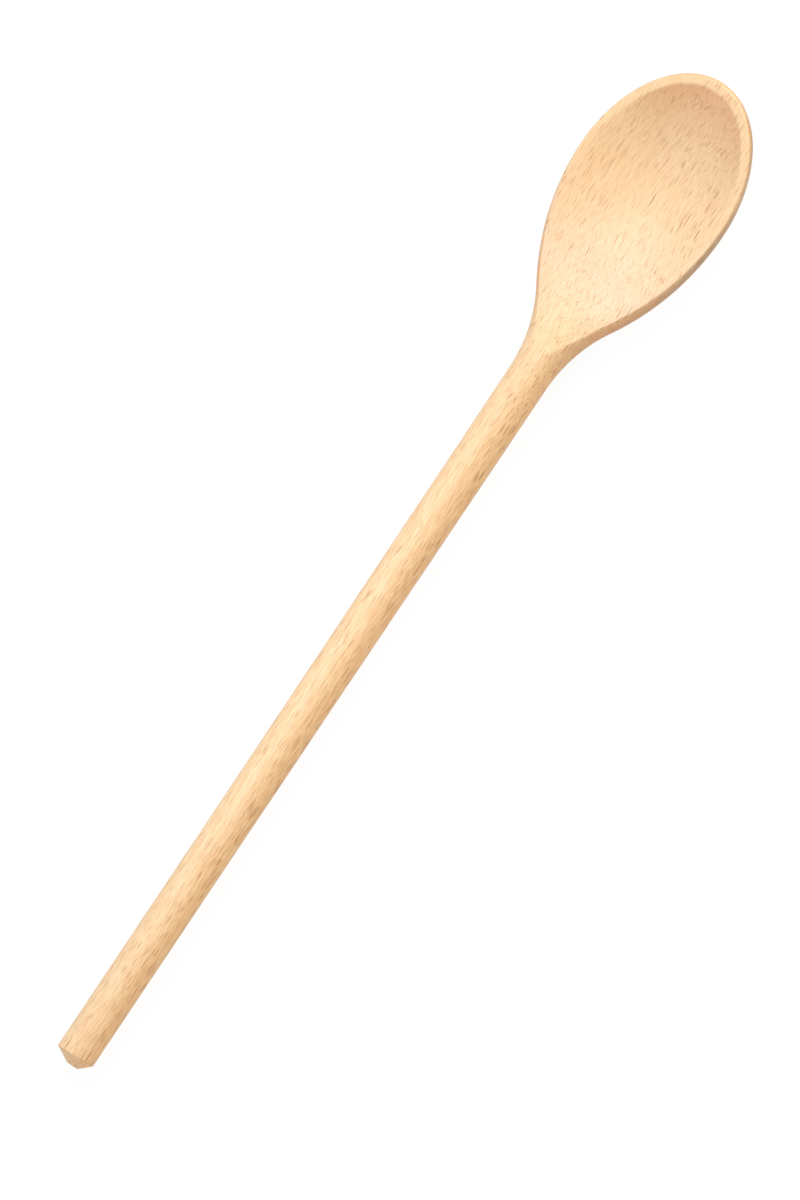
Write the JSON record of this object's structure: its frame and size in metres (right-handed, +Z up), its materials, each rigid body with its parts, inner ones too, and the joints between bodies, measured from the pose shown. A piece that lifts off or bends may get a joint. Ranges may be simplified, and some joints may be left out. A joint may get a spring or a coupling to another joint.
{
  "type": "wooden spoon",
  "caption": "Long one-piece beech cooking spoon with a round straight handle, a blunt cone at its tail and a shallow egg-shaped bowl for stirring, tasting and serving.",
  "frame": {"origin": "Under the middle of the spoon's length, on the surface that it lies on, level with the lowest point of the bowl's back.", "axes": "+X runs along the handle towards the bowl's tip, +Y points to the spoon's left and +Z points up out of the bowl's hollow."},
  "size_m": [0.35, 0.0526, 0.0139],
  "materials": {
    "beech": "matte"
  },
  "bodies": {
    "root": {"spoon": "beech"}
  },
  "joints": []
}
